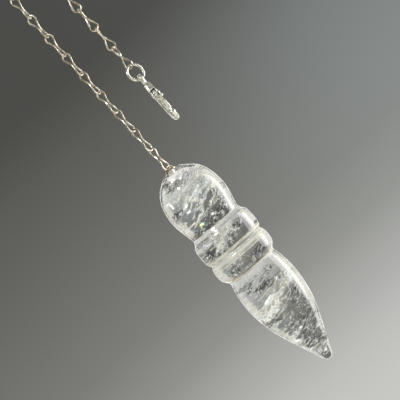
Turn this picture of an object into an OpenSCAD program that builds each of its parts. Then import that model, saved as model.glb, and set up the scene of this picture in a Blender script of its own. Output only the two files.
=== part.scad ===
// Crystal pendulum pendant, hanging from the bend of its own chain.
// Millimetres, +Z up, the origin at the middle of the chain's top link. The stone's strand
// comes down at -X and the free end, with its ring and clasp, at +X.

/* [Stone] */
// Length of the turned stone from its flat top to its tip
stone_length = 53.2; // [46:0.2:62]
// Diameter of the small flat on top, where the eye is set
flat_diameter = 5.0; // [4:0.1:6.4]
// Largest diameter of the head
head_diameter = 14.5; // [12.5:0.1:17]
// Height of the head down to the first groove
head_height = 14.9; // [13:0.1:17]
// Diameter at the bottom of the first groove
first_groove_diameter = 12.4; // [10.5:0.1:12.6]
// Diameter of the first collar
first_collar_diameter = 14.86; // [14.4:0.02:17]
// Height of the first collar
first_collar_height = 6.6; // [5.4:0.1:8]
// Diameter at the bottom of the second groove
second_groove_diameter = 13.36; // [11:0.02:13.6]
// Diameter of the second collar
second_collar_diameter = 14.66; // [14.4:0.02:17]
// Height of the second collar
second_collar_height = 5.6; // [4.6:0.1:7]
// Diameter at the bottom of the third groove
third_groove_diameter = 12.06; // [10:0.02:12.2]
// Largest diameter of the body under the collars
body_diameter = 13.8; // [13.6:0.1:16]
// Diameter at which the point starts to round off
tip_diameter = 2.5; // [1.6:0.1:3.6]
// Lean of the stone against its strand, in degrees
stone_lean = 2.0; // [0:0.1:3]

/* [Eye] */
// Width of the wire bow over its legs
bow_width = 2.54; // [2.4:0.02:3]
// Height of the bow above the stone's flat
bow_height = 1.42; // [1.4:0.02:1.6]
// Thickness of the bow's wire
bow_wire = 0.42; // [0.3:0.02:0.5]
// Diameter of the small plate that the bow is soldered to
plate_diameter = 2.8; // [2.6:0.1:3.6]
// Thickness of that plate
plate_thickness = 0.24; // [0.15:0.01:0.28]
// Diameter of the peg that holds the eye in the stone
peg_diameter = 1.0; // [0.7:0.05:1.4]
// Length of the peg under the plate
peg_length = 2.0; // [1.5:0.1:5]
// Clearance between the peg or the plate and the stone
peg_gap = 0.05; // [0.03:0.01:0.08]
// How far off the bow's middle the chain hangs
hang_offset = 0.1; // [0:0.02:0.2]
// Angle between the bow and the first link's loop, in degrees
eye_cross_angle = 65; // [63:1:80]

/* [Chain] */
// Length that each link adds to the chain
link_pitch = 5.55; // [4.8:0.05:6.4]
// Thickness of the link's wire
link_wire = 0.36; // [0.3:0.02:0.44]
// Width of each of a link's two loops over the wire
loop_width = 2.25; // [2.1:0.05:2.4]
// Clearance between metal pieces that hang in each other
hang_gap = 0.12; // [0.1:0.01:0.14]
// Clearance between the two wires of a link's waist
waist_gap = 0.22; // [0.1:0.02:0.26]
// Distance between the two hanging strands
strand_spacing = 8.9; // [8:0.1:11]

/* [Jump ring] */
// Outer diameter of the jump ring
ring_diameter = 4.4; // [4:0.1:5.4]
// Thickness of its wire
ring_wire = 0.56; // [0.5:0.02:0.66]
// Width of the cut where the ring opens
ring_cut = 0.08; // [0.04:0.01:0.2]
// Angle between the ring and the last link's loop, in degrees
ring_cross_angle = 61; // [60:1:80]

/* [Clasp] */
// Length of the clasp from its tail to its hook
clasp_length = 13.1; // [12.6:0.1:14.5]
// Outer diameter of the tail loop
tail_diameter = 3.1; // [3:0.1:3.5]
// Thickness of the tail loop
tail_wire = 0.84; // [0.7:0.02:0.88]
// Width of the housing, from cheek to cheek above the pivot
housing_width = 1.5; // [1.4:0.05:1.8]
// Outer diameter of the hook's round end
hook_diameter = 5.6; // [5.4:0.1:6.4]
// Thickness of the hook
hook_wire = 1.4; // [1.1:0.05:1.5]
// Diameter of the round cheeks at the pivot
cheek_diameter = 2.6; // [2.4:0.05:2.7]
// Width over the cheeks
cheek_width = 1.6; // [1.5:0.05:1.8]
// Diameter of the pivot's riveted heads
rivet_diameter = 1.3; // [1.1:0.05:1.6]
// Width over the riveted heads
rivet_width = 2.0; // [1.9:0.05:2.4]
// Diameter of the pivot pin
pin_diameter = 0.6; // [0.5:0.02:0.7]
// Clearance round the pin, beside the lever and at the lever's end
lever_gap = 0.1; // [0.08:0.01:0.13]
// Width of the lever inside the housing
hub_width = 0.8; // [0.7:0.05:0.9]
// Width of the lever's free arm
arm_width = 1.2; // [1:0.05:1.4]
// Length of the thumb tab, away from the clasp
tab_length = 1.0; // [0.6:0.05:1.4]
// Height of the thumb tab
tab_height = 0.7; // [0.5:0.05:0.9]
// Width of the thumb tab
tab_width = 1.9; // [1.6:0.05:2.2]
// Turn of the clasp about the strand, in degrees
clasp_turn = 2; // [0:1:12]

/* [Hidden] */

// Sides of a round shape and of a link's wire, and how far a turned curve bends at a time.
$fn = 64;
wire_sides = 6;
arc_turn = 4;

// The chain's route, one turn about its own axis for each link, in degrees: the links of the
// stone's strand from the stone up, the links over the top, and those of the free strand from
// the top down. A link is one entry, so the lists also say how many links there are.
stone_side_turns = [-44, -40, -36, -33, -29, -26, -23, -20, -18, -15, -12, -10, -7, -5, -3, -1, 0];
top_turns = [0, 0, 0];
free_side_turns = [0, 0, 0, 0, 0, 0, -4, -8, -12, -14, -6, 10, 29];

// The stone's outline, one row for each turned step. The columns are the share of the
// section's height, the share of its largest radius, and half the angle through which the
// arc that leads there turns, where 0 is a straight flank.
head_steps = [
  [0.114, 0.648, 0],
  [0.322, 0.913, 14.4],
  [0.597, 1.000, 8.7],
  [0.758, 0.966, 5.9],
  [0.973, 0.865, 1.0]
];
first_collar_steps = [
  [0.121, 0.891, 0],
  [0.303, 0.9865, 20],
  [0.606, 1.000, 2.9],
  [0.848, 0.9865, 3.6],
  [0.970, 0.925, 20]
];
second_collar_steps = [
  [0.045, 0.9345, 0],
  [0.250, 0.993, 14],
  [0.393, 1.000, 3.6],
  [0.661, 0.9795, 5.7],
  [0.786, 0.930, 14],
  [0.929, 0.839, 0]
];
body_steps = [
  [0.0153, 0.891, 0],
  [0.2337, 1.000, 7.5],
  [0.6475, 0.681, 11.5]
];
// How deep the point's rounding is, as a share of its diameter, and its arc's half turn.
tip_depth_share = 0.36;
tip_half_turn = 31.4;

body_height = stone_length - head_height - first_collar_height - second_collar_height;

function section(steps, top, height, diameter) =
  [for (step = steps) [top + step[0] * height, step[1] * diameter / 2, step[2]]];

// Every step as depth below the flat, radius, and half turn.
stone_rows = concat(
  [[0, flat_diameter / 2, 0]],
  section(head_steps, 0, head_height, head_diameter),
  [[head_height, first_groove_diameter / 2, 0]],
  section(first_collar_steps, head_height, first_collar_height, first_collar_diameter),
  [[head_height + first_collar_height, second_groove_diameter / 2, 0]],
  section(second_collar_steps, head_height + first_collar_height, second_collar_height,
    second_collar_diameter),
  [[stone_length - body_height, third_groove_diameter / 2, 0]],
  section(body_steps, stone_length - body_height, body_height, body_diameter),
  [[stone_length - tip_depth_share * tip_diameter, tip_diameter / 2, 0]],
  [[stone_length, 0, tip_half_turn]]
);

// The eye: the bow is half a ring whose ends stand in the plate. The chain's first wire hangs
// under the bow's wire, and that point is the pivot, in the stone's own frame.
eye_turn = stone_side_turns[0] + 90 - eye_cross_angle;
bow_radius = (bow_width - bow_wire) / 2;
bow_centre_z = bow_height - bow_width / 2;
hang_reach = bow_radius - bow_wire / 2 - link_wire / 2 - hang_gap;
pivot_in_stone = [-hang_offset * cos(eye_turn), -hang_offset * sin(eye_turn),
  bow_centre_z + sqrt(hang_reach ^ 2 - hang_offset ^ 2)];
peg_hole_diameter = peg_diameter + 2 * peg_gap;

// A link: two loops at right angles, each a round end that runs straight into the waist. It
// is measured along its own axis from the middle of the wire that it hangs or carries by.
loop_radius = (loop_width - link_wire) / 2;
joint_drop = link_wire + hang_gap;
half_core = (link_pitch + joint_drop) / 2;
waist_half = (link_wire + waist_gap) / 2;
waist_share = 0.115;
waist_z = waist_share * half_core;
arc_steps = 4;
// The rows between the round end and the waist: share of the flank and of the quarter turn.
flank_steps = [[0.5, 0], [0.8, 0.08]];
waist_turn_share = 0.25;

arc_centre_z = half_core - loop_radius;
flank_height = arc_centre_z - waist_z;
flank_reach = norm([waist_half, flank_height]);
arc_end = 180 - atan(waist_half / flank_height) - acos(loop_radius / flank_reach);
arc_end_point = [loop_radius * sin(arc_end), arc_centre_z + loop_radius * cos(arc_end)];
waist_point = [waist_half, waist_z];

// Half of one wire from the upper round end down to the waist, as half width, height above
// the link's middle, turn about its axis, and the tilt of the outward side from straight up.
upper_half = concat(
  [for (i = [0 : arc_steps]) let (a = arc_end * i / arc_steps)
    [loop_radius * sin(a), arc_centre_z + loop_radius * cos(a), 0, a]],
  [for (step = flank_steps) let (p = arc_end_point + step[0] * (waist_point - arc_end_point))
    [p[0], p[1], 90 * step[1], 90]],
  [[waist_half, waist_z, 90 * waist_turn_share, 90]]
);
upper_count = len(upper_half);
lower_half = [for (i = [upper_count - 1 : -1 : 0]) let (row = upper_half[i])
  [row[0], -row[1], 90 - row[2], 180 - row[3]]];
wire_down = concat(upper_half, [[waist_half, 0, 45, 90]], lower_half);
wire_count = len(wire_down);

function on_side(row, side) = [side * row[0] * cos(row[2]), side * row[0] * sin(row[2]), row[1]];
function outward(row, side) =
  [side * sin(row[3]) * cos(row[2]), side * sin(row[3]) * sin(row[2]), cos(row[3])];

// The closed path runs down one side and up the other.
link_path = concat(
  [for (row = wire_down) on_side(row, 1)],
  [for (i = [wire_count - 2 : -1 : 1]) on_side(wire_down[i], -1)]
);
link_outward = concat(
  [for (row = wire_down) outward(row, 1)],
  [for (i = [wire_count - 2 : -1 : 1]) outward(wire_down[i], -1)]
);
path_count = len(link_path);

function unit(v) = v / norm(v);
function path_tangent(i) =
  unit(link_path[(i + 1) % path_count] - link_path[(i + path_count - 1) % path_count]);

function wire_ring(i) =
  let (along = path_tangent(i), out = link_outward[i])
  let (normal = unit(out - (out * along) * along))
  let (across = cross(along, normal))
  [for (k = [0 : wire_sides - 1]) let (a = 360 * k / wire_sides)
    link_path[i] + link_wire / 2 * (cos(a) * normal + sin(a) * across)];

link_points = [for (i = [0 : path_count - 1]) each wire_ring(i)];
link_faces = [for (i = [0 : path_count - 1]) for (k = [0 : wire_sides - 1])
  let (a = i * wire_sides, b = (i + 1) % path_count * wire_sides, n = (k + 1) % wire_sides)
  each [[a + k, b + k, b + n], [a + k, b + n, a + n]]];

// The chain's route in the plane of the two strands. Each link starts at the wire that the
// link before it hangs in, and its direction is an angle above +X.
stone_side_links = len(stone_side_turns);
free_side_links = len(free_side_turns);
top_lean = acos((strand_spacing - link_pitch) / (2 * link_pitch));
link_turns = concat(stone_side_turns, top_turns, free_side_turns);
link_angles = concat(
  [for (turn = stone_side_turns) 90],
  [top_lean, 0, -top_lean],
  [for (turn = free_side_turns) -90]
);
function step_of(angle) = link_pitch * [cos(angle), 0, sin(angle)];
top_start = [-link_pitch / 2, 0, 0] - step_of(top_lean);
first_joint = top_start - stone_side_links * step_of(90);
function joint(k) = k == 0 ? first_joint : joint(k - 1) + step_of(link_angles[k - 1]);

// The jump ring hangs in the last link's lower loop, and the clasp's tail hangs in the ring.
ring_radius = (ring_diameter - ring_wire) / 2;
last_crown = joint(len(link_angles)) - [0, 0, joint_drop];
ring_top = last_crown + [0, 0, link_wire / 2 + hang_gap + ring_wire / 2];
ring_centre = ring_top - [0, 0, ring_radius];
ring_cut_angle = 235;
ring_turn = ring_cross_angle - free_side_turns[free_side_links - 1];

tail_radius = (tail_diameter - tail_wire) / 2;
tail_hole_radius = tail_radius - tail_wire / 2;
tail_centre = ring_centre + [0, 0, ring_wire / 2 + hang_gap - tail_hole_radius - ring_radius];

// The clasp in its own frame: the origin at the middle of its tail loop, +Z up, the lever on
// the -Y side. Its outline is a table of shares of the hook's radius and the clasp's length.
hook_radius = (hook_diameter - hook_wire) / 2;
hook_centre = [0, -(clasp_length - tail_diameter / 2 - hook_diameter / 2)];
fixed_arm_lean = 11.4;
fixed_arm_length = 0.42 * clasp_length;
hook_tip_angle = 210;
pivot_at = [-0.34 * hook_diameter / 2, -0.33 * clasp_length];
housing_outline = [
  [-0.26, -0.095],
  [0.26, -0.095],
  [0.62, -0.2],
  [0.72, -0.36],
  [0.42, -0.417],
  [-0.36, -0.421],
  [-0.66, -0.305]
];
slot_width = hub_width + 2 * lever_gap;
hub_diameter = cheek_diameter - 0.5;
pin_seat = 0.2;
slot_back = pivot_at[0] + hub_diameter / 2 + 3 * lever_gap;
arm_start_z = pivot_at[1] - cheek_diameter / 2 - 2 * lever_gap;
hook_tip = hook_centre + hook_radius * [cos(hook_tip_angle), sin(hook_tip_angle)];
ball_diameter = hook_wire + 0.1;
arm_end_z = hook_tip[1] + ball_diameter / 2 + 3 * lever_gap;
// The lever's arm seen from the side: share of the hook's radius, share of the arm's height.
arm_outer = [[-0.78, 0], [-0.90, 0.45], [-0.83, 1]];
arm_inner = [[-0.60, 1], [-0.62, 0.45], [-0.40, 0]];

// Turned stone

function outline_point(row) = [row[1], -row[0]];

// The points along one step, without its start. A curved step is cut into short flanks that
// turn by no more than arc_turn each.
function step_points(from, to) =
  let (start = outline_point(from), end = outline_point(to))
  to[2] == 0 ? [end] :
  let (chord = end - start, reach = norm(chord), along = chord / reach)
  let (out = [-along[1], along[0]], radius = reach / 2 / sin(to[2]))
  let (centre = (start + end) / 2 - out * radius * cos(to[2]), count = ceil(2 * to[2] / arc_turn))
  [for (i = [1 : count]) let (a = to[2] * (2 * i / count - 1))
    centre + radius * (out * cos(a) + along * sin(a))];

module turned_stone() {
  outline = [for (i = [1 : len(stone_rows) - 2]) each step_points(stone_rows[i - 1], stone_rows[i])];
  point = step_points(stone_rows[len(stone_rows) - 2], stone_rows[len(stone_rows) - 1]);
  rotate_extrude()
    polygon(concat([[0, 0], outline_point(stone_rows[0])], outline,
      [for (i = [0 : len(point) - 2]) point[i]], [[0, -stone_length]]));
}

// Places the stone's own frame, with its flat's middle at the origin, at the chain's end.
module on_chain() {
  translate(first_joint) rotate([0, stone_lean, 0]) translate(-pivot_in_stone) children();
}

module stone() {
  peg_hole_depth = peg_length + 2 * peg_gap;
  color("gainsboro", 0.6)
    on_chain()
      difference() {
        turned_stone();
        translate([0, 0, -peg_hole_depth]) cylinder(d = peg_hole_diameter, h = peg_hole_depth + 1);
      }
}

module eye_pin() {
  color("darkgoldenrod")
    on_chain() {
      translate([0, 0, peg_gap]) cylinder(d = plate_diameter, h = plate_thickness);
      translate([0, 0, peg_gap - peg_length]) cylinder(d = peg_diameter, h = peg_length + 0.1);
      translate([0, 0, bow_centre_z]) rotate([90, 0, eye_turn])
        rotate_extrude(angle = 180) translate([bow_radius, 0]) circle(d = bow_wire);
    }
}

// Chain

module bare_link() {
  translate([0, 0, half_core]) polyhedron(points = link_points, faces = link_faces);
}

module link(number) {
  k = number - 1;
  color("tan")
    translate(joint(k)) rotate([0, 90 - link_angles[k], 0]) rotate([0, 0, link_turns[k]])
      bare_link();
}

module jump_ring() {
  cut_turn = ring_cut / ring_radius * 180 / PI;
  color("beige")
    translate(ring_centre) rotate([0, 0, ring_turn]) rotate([90, 0, 0])
      rotate([0, 0, ring_cut_angle + cut_turn / 2])
        rotate_extrude(angle = 360 - cut_turn) translate([ring_radius, 0]) circle(d = ring_wire);
}

// Clasp

module on_ring() {
  translate(tail_centre) rotate([0, 0, clasp_turn]) children();
}

// Extrudes an outline drawn across and up by a width along X, centred.
module side_slab(width) {
  rotate([90, 0, 90]) linear_extrude(width, center = true) children();
}

module cross_cylinder(at, diameter, width) {
  translate([0, at[0], at[1]]) rotate([0, 90, 0]) cylinder(d = diameter, h = width, center = true);
}

module hook() {
  translate([0, hook_centre[0], hook_centre[1]]) rotate([90, 0, 90]) {
    rotate([0, 0, hook_tip_angle])
      rotate_extrude(angle = 360 + fixed_arm_lean - hook_tip_angle)
        translate([hook_radius, 0]) circle(d = hook_wire);
    rotate([0, 0, hook_tip_angle]) translate([hook_radius, 0, 0]) sphere(d = ball_diameter);
    rotate([0, 0, fixed_arm_lean]) translate([hook_radius, 0, 0]) rotate([-90, 0, 0])
      cylinder(d = hook_wire, h = fixed_arm_length);
  }
}

module clasp_body() {
  color("beige")
    on_ring() {
      rotate([90, 0, 90]) rotate_extrude() translate([tail_radius, 0]) circle(d = tail_wire);
      difference() {
        union() {
          hook();
          side_slab(housing_width)
            polygon([for (p = housing_outline) [p[0] * hook_diameter / 2, p[1] * clasp_length]]);
          cross_cylinder(pivot_at, cheek_diameter, cheek_width);
          cross_cylinder(pivot_at, rivet_diameter, rivet_width);
        }
        translate([-slot_width / 2, slot_back - hook_diameter, arm_start_z - 1])
          cube([slot_width, hook_diameter, pivot_at[1] + hub_diameter / 2 + 2 * lever_gap
            - arm_start_z + 1]);
      }
      cross_cylinder(pivot_at, pin_diameter, slot_width + 2 * pin_seat);
    }
}

module clasp_lever() {
  arm_height = arm_end_z - arm_start_z;
  half_hook = hook_diameter / 2;
  arm_points = [for (p = concat(arm_outer, arm_inner))
    [p[0] * half_hook, arm_start_z + p[1] * arm_height]];
  tab_in = pivot_at[0] - cheek_diameter / 2 - lever_gap;
  tab_top = pivot_at[1] - 0.32 * cheek_diameter;
  color("ivory")
    on_ring()
      difference() {
        union() {
          cross_cylinder(pivot_at, hub_diameter, hub_width);
          side_slab(hub_width)
            polygon([[tab_in - 0.1, tab_top], pivot_at, arm_points[5], arm_points[0],
              [tab_in - 0.1, tab_top - tab_height]]);
          side_slab(arm_width) polygon(arm_points);
          side_slab(tab_width)
            translate([tab_in - tab_length, tab_top - tab_height]) square([tab_length, tab_height]);
        }
        cross_cylinder(pivot_at, pin_diameter + 2 * lever_gap, hub_width + 1);
      }
}

stone();
eye_pin();
jump_ring();
clasp_body();
clasp_lever();
link(1);  // link_01
link(2);  // link_02
link(3);  // link_03
link(4);  // link_04
link(5);  // link_05
link(6);  // link_06
link(7);  // link_07
link(8);  // link_08
link(9);  // link_09
link(10);  // link_10
link(11);  // link_11
link(12);  // link_12
link(13);  // link_13
link(14);  // link_14
link(15);  // link_15
link(16);  // link_16
link(17);  // link_17
link(18);  // link_18
link(19);  // link_19
link(20);  // link_20
link(21);  // link_21
link(22);  // link_22
link(23);  // link_23
link(24);  // link_24
link(25);  // link_25
link(26);  // link_26
link(27);  // link_27
link(28);  // link_28
link(29);  // link_29
link(30);  // link_30
link(31);  // link_31
link(32);  // link_32
link(33);  // link_33
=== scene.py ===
# %% [markdown]
# # A crystal pendulum on its chain
#
# The object is a hand pendulum: one long turned piece of clear rock crystal that hangs by a
# small wire eye from a fine chain. The chain runs up out of the picture, closes over the top,
# and its free end comes down again beside the stone, with a jump ring and a lobster clasp.
# The packed model gives every piece its place, so this script only adds what the eye sees.

# %% Load the packed model
import math
import random

import bmesh
import bpy
from mathutils import Matrix, Vector, noise


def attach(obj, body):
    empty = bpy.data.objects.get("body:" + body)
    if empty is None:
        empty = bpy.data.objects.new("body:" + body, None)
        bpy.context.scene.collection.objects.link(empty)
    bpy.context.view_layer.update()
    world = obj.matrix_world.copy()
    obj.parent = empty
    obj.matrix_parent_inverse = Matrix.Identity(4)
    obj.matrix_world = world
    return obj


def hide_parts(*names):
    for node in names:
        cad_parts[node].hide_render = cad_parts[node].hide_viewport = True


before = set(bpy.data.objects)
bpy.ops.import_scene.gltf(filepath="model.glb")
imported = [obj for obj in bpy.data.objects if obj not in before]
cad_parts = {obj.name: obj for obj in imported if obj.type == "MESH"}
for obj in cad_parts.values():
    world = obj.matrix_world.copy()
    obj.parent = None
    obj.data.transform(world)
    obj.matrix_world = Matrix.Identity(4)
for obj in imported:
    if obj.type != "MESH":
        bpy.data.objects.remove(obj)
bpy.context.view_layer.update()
MM = 0.001

# %% [markdown]
# ## Where things are
#
# The two strands hang straight down. Two facts place everything on them: where the stone's
# eye hangs in the first link, and how far each link carries the chain. The stone leans a
# little, because its weight does not hang quite under the eye's middle.

# %% The hanging point and the stone's own frame
STRAND_SPACING = 8.9
LINK_PITCH = 5.55
STONE_LINKS = 17
TOP_LINKS = 3
FREE_LINKS = 13
TOP_LEAN = math.acos((STRAND_SPACING - LINK_PITCH) / (2 * LINK_PITCH))
STONE_LEAN = math.radians(2.0)
HANG_OFFSET = 0.1
HANG_HEIGHT = 0.69083
EYE_TURN = math.radians(-19)

top_left = Vector((-LINK_PITCH / 2, 0, 0)) - LINK_PITCH * Vector((math.cos(TOP_LEAN), 0, math.sin(TOP_LEAN)))
first_joint = top_left - Vector((0, 0, STONE_LINKS * LINK_PITCH))
pivot_in_stone = Vector((-HANG_OFFSET * math.cos(EYE_TURN), -HANG_OFFSET * math.sin(EYE_TURN), HANG_HEIGHT))
stone_place = (
    Matrix.Scale(MM, 4)
    @ Matrix.Translation(first_joint)
    @ Matrix.Rotation(STONE_LEAN, 4, "Y")
    @ Matrix.Translation(-pivot_in_stone)
)
print("first joint, mm", [round(c, 3) for c in first_joint])

# %% [markdown]
# ## Small tools
#
# A piece is drawn in millimetres in a frame of its own, and its place is then written into its
# mesh, so that every object stays at the origin.

# %% Turn a bmesh into a placed piece
SHARP_ANGLE = math.radians(40)
studio = bpy.context.scene.collection


def piece_of_mesh(mesh, name, place, body, finishes, replaces=()):
    """Places a mesh as a smooth-shaded object that rides on a body."""
    mesh.transform(place)
    mesh.shade_smooth()
    mesh.set_sharp_from_angle(angle=SHARP_ANGLE)
    for finish in finishes:
        mesh.materials.append(finish.material)
    piece = bpy.data.objects.new(name, mesh)
    studio.objects.link(piece)
    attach(piece, body)
    if replaces:
        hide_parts(*replaces)
    return piece


def piece_from(bm, name, place, body, finishes, replaces=()):
    mesh = bpy.data.meshes.new(name)
    bm.to_mesh(mesh)
    bm.free()
    return piece_of_mesh(mesh, name, place, body, finishes, replaces)


def pour(bm, part):
    """Adds all of one bmesh to another and frees it."""
    mesh = bpy.data.meshes.new("part")
    part.to_mesh(mesh)
    part.free()
    bm.from_mesh(mesh)
    bpy.data.meshes.remove(mesh)


print("edges stay sharp over", round(math.degrees(SHARP_ANGLE)), "degrees")

# %% [markdown]
# ## Writing materials as sums
#
# A material is a graph of nodes. Here a socket can be added, multiplied and subtracted like a
# number, and each sum adds its own Math node. Every other node comes from one method.

# %% A value that takes part in sums
class Term:
    def __init__(self, finish, socket):
        self.finish = finish
        self.socket = socket

    def _sum(self, operation, *terms, clamp=False):
        return self.finish.node("ShaderNodeMath", {"operation": operation, "use_clamp": clamp}, *terms)

    def __add__(self, other):
        return self._sum("ADD", self, other)

    def __mul__(self, other):
        return self._sum("MULTIPLY", self, other)

    def __sub__(self, other):
        return self._sum("SUBTRACT", self, other)

    def __rsub__(self, other):
        return self._sum("SUBTRACT", other, self)

    __radd__ = __add__
    __rmul__ = __mul__

    def clamped(self):
        return self._sum("ADD", self, 0.0, clamp=True)

    def step(self, low, high, out_low=0.0, out_high=1.0):
        """Eases from out_low to out_high while the value goes from low to high."""
        settings = {"interpolation_type": "SMOOTHSTEP", "clamp": True}
        return self.finish.node("ShaderNodeMapRange", settings, self, low, high, out_low, out_high)

    def band(self, middle, half):
        """Rises to 1 at the middle and falls to 0 at half a width on each side of it."""
        return self.step(middle - half, middle) * self.step(middle, middle + half, 1.0, 0.0)


print("sums and steps", len(vars(Term)))

# %% [markdown]
# ## One class for a finish
#
# Patterns are laid in object coordinates, in millimetres, so they stay with the piece when it
# swings.

# %% The finish helper
class Finish:
    """One material, with a Principled shader at its end."""

    def __init__(self, name, **constants):
        self.material = bpy.data.materials.new(name)
        self.material.use_nodes = True
        self.tree = self.material.node_tree
        self.shader = self.tree.nodes["Principled BSDF"]
        self.output = self.tree.nodes["Material Output"]
        for socket, value in constants.items():
            self.shader.inputs[socket.replace("_", " ")].default_value = value

    def node(self, kind, settings, *inputs, out=0, **named):
        """Adds a node: its type, its settings, then its sockets by place or by name."""
        node = self.tree.nodes.new(kind)
        for key, value in settings.items():
            if key == "stops":
                ramp = node.color_ramp
                while len(ramp.elements) < len(value):
                    ramp.elements.new(0.5)
                for element, (at, tone) in zip(ramp.elements, value):
                    element.position, element.color = at, tone
            else:
                setattr(node, key, value)
        for key, value in [*enumerate(inputs), *named.items()]:
            self.feed(node.inputs[key.replace("_", " ") if isinstance(key, str) else key], value)
        return Term(self, node.outputs[out])

    def feed(self, socket, value):
        if isinstance(value, Term):
            self.tree.links.new(value.socket, socket)
        else:
            socket.default_value = value

    def vary(self, socket, value):
        self.feed(self.shader.inputs[socket], value)

    def place(self, stretch=(1, 1, 1), turn=(0, 0, 0)):
        """Object coordinates in millimetres, turned and then stretched for one pattern."""
        coordinate = self.node("ShaderNodeTexCoord", {}, out=3)
        return self.node(
            "ShaderNodeMapping", {"vector_type": "TEXTURE"}, coordinate,
            Rotation=tuple(math.radians(a) for a in turn), Scale=tuple(s * MM for s in stretch),
        )

    def noise(self, at, scale, detail=3.0, roughness=0.5, distortion=0.0):
        return self.node(
            "ShaderNodeTexNoise", {"noise_dimensions": "3D"}, at,
            Scale=scale, Detail=detail, Roughness=roughness, Distortion=distortion,
        )

    def haze(self):
        """The density that a sheet carries on its vertices."""
        return self.node("ShaderNodeAttribute", {"attribute_name": "haze"}, out=2)

    def blend(self, factor, one, two):
        mix = self.tree.nodes.new("ShaderNodeMix")
        mix.data_type = "RGBA"
        for index, value in ((0, factor), (6, one), (7, two)):
            self.feed(mix.inputs[index], value)
        return Term(self, mix.outputs[2])

    def bump(self, height, strength, distance):
        return self.node("ShaderNodeBump", {}, Strength=strength, Distance=distance, Height=height)


def colour(red, green, blue):
    return (red, green, blue, 1.0)


print("methods of a finish", len(vars(Finish)))

# %% [markdown]
# ## The stone's outline
#
# A turner cuts the crystal against a wheel while it spins, so the whole stone is one outline
# turned about its axis. Each row below is one step of the outline: how far down its section
# it lies, its share of the section's radius, and half the angle that the arc to it turns.

# %% The stone's sections
HEAD = [
    (0.114, 0.648, 0), (0.322, 0.913, 14.4), (0.597, 1.0, 8.7),
    (0.758, 0.966, 5.9), (0.973, 0.865, 1.0),
]
FIRST_COLLAR = [
    (0.121, 0.891, 0), (0.303, 0.9865, 20), (0.606, 1.0, 2.9),
    (0.848, 0.9865, 3.6), (0.970, 0.925, 20),
]
SECOND_COLLAR = [
    (0.045, 0.9345, 0), (0.250, 0.993, 14), (0.393, 1.0, 3.6),
    (0.661, 0.9795, 5.7), (0.786, 0.930, 14), (0.929, 0.839, 0),
]
BODY = [(0.0153, 0.891, 0), (0.2337, 1.0, 7.5), (0.6475, 0.681, 11.5)]
STONE_LENGTH = 53.2
HEAD_HEIGHT, FIRST_HEIGHT, SECOND_HEIGHT = 14.9, 6.6, 5.6
HEAD_DIAMETER, FIRST_DIAMETER, SECOND_DIAMETER, BODY_DIAMETER = 14.5, 14.86, 14.66, 13.8
FLAT_RADIUS = 2.5
FIRST_GROOVE, SECOND_GROOVE, BODY_GROOVE = 6.2, 6.68, 6.03
TIP_DIAMETER = 2.5
TIP_DEPTH_SHARE = 0.36
TIP_TURN = 31.4
HOLE_RADIUS = 0.55
HOLE_DEPTH = 2.1

first_top = HEAD_HEIGHT
second_top = first_top + FIRST_HEIGHT
body_top = second_top + SECOND_HEIGHT
tip_top = STONE_LENGTH - TIP_DEPTH_SHARE * TIP_DIAMETER


def section(steps, top, height, diameter):
    return [(top + down * height, out * diameter / 2, turn) for down, out, turn in steps]


rows = [
    (0, FLAT_RADIUS, 0),
    *section(HEAD, 0, HEAD_HEIGHT, HEAD_DIAMETER),
    (first_top, FIRST_GROOVE, 0),
    *section(FIRST_COLLAR, first_top, FIRST_HEIGHT, FIRST_DIAMETER),
    (second_top, SECOND_GROOVE, 0),
    *section(SECOND_COLLAR, second_top, SECOND_HEIGHT, SECOND_DIAMETER),
    (body_top, BODY_GROOVE, 0),
    *section(BODY, body_top, STONE_LENGTH - body_top, BODY_DIAMETER),
    (tip_top, TIP_DIAMETER / 2, 0),
    (STONE_LENGTH, 0, TIP_TURN),
]
print("rows", len(rows), "tops, mm", [round(top, 2) for top in (first_top, second_top, body_top)])

# %% [markdown]
# ## Arcs and eased corners
#
# Each row is joined to the one before by a straight cut or an arc. The corners are then eased,
# because tumbling and polishing never leave them sharp.

# %% Work out the outline
ARC_STEP = 2.5
EASE = 0.16
EASE_SHARE = 0.4
EASE_FROM = math.radians(9)


def arc_points(start, end, half_turn):
    """The points of an arc from start to end that bulges away from the axis, without its start."""
    if half_turn == 0:
        return [end]
    chord = end - start
    along = chord.normalized()
    out = Vector((-along.y, along.x))
    half = math.radians(half_turn)
    radius = chord.length / 2 / math.sin(half)
    centre = (start + end) / 2 - out * radius * math.cos(half)
    count = math.ceil(2 * half_turn / ARC_STEP)
    angles = [half * (2 * i / count - 1) for i in range(1, count + 1)]
    return [centre + radius * (out * math.cos(a) + along * math.sin(a)) for a in angles]


def eased(points):
    """Rounds each sharp corner of an outline by a short curve."""
    smooth = [points[0]]
    for before, here, after in zip(points, points[1:], points[2:]):
        into, away = here - before, after - here
        if into.angle(away) < EASE_FROM:
            smooth.append(here)
            continue
        start = here - into.normalized() * min(EASE, into.length * EASE_SHARE)
        end = here + away.normalized() * min(EASE, away.length * EASE_SHARE)
        for t in (0, 0.25, 0.5, 0.75, 1):
            smooth.append((1 - t) ** 2 * start + 2 * t * (1 - t) * here + t * t * end)
    return smooth + [points[-1]]


corners = [Vector((FLAT_RADIUS, 0))]
for depth, radius, turn in rows[1:]:
    corners += arc_points(corners[-1], Vector((radius, -depth)), turn)
rim = Vector((HOLE_RADIUS, 0))
outside = eased([rim] + corners)


def stone_radius(depth):
    """The stone's radius at a depth below its flat, in millimetres."""
    for (r1, z1), (r2, z2) in zip(outside, outside[1:]):
        if -z1 <= depth <= -z2 and z1 != z2:
            return r1 + (r2 - r1) * (depth + z1) / (z1 - z2)
    return 0.0


print("outline points", len(outside))

# %% [markdown]
# ## Polished crystal
#
# Quartz bends light by 1.544. Its polish is never perfect, so it has a very small roughness and
# a faint wave. The blind hole for the eye's peg is left frosted by its drill.

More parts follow.
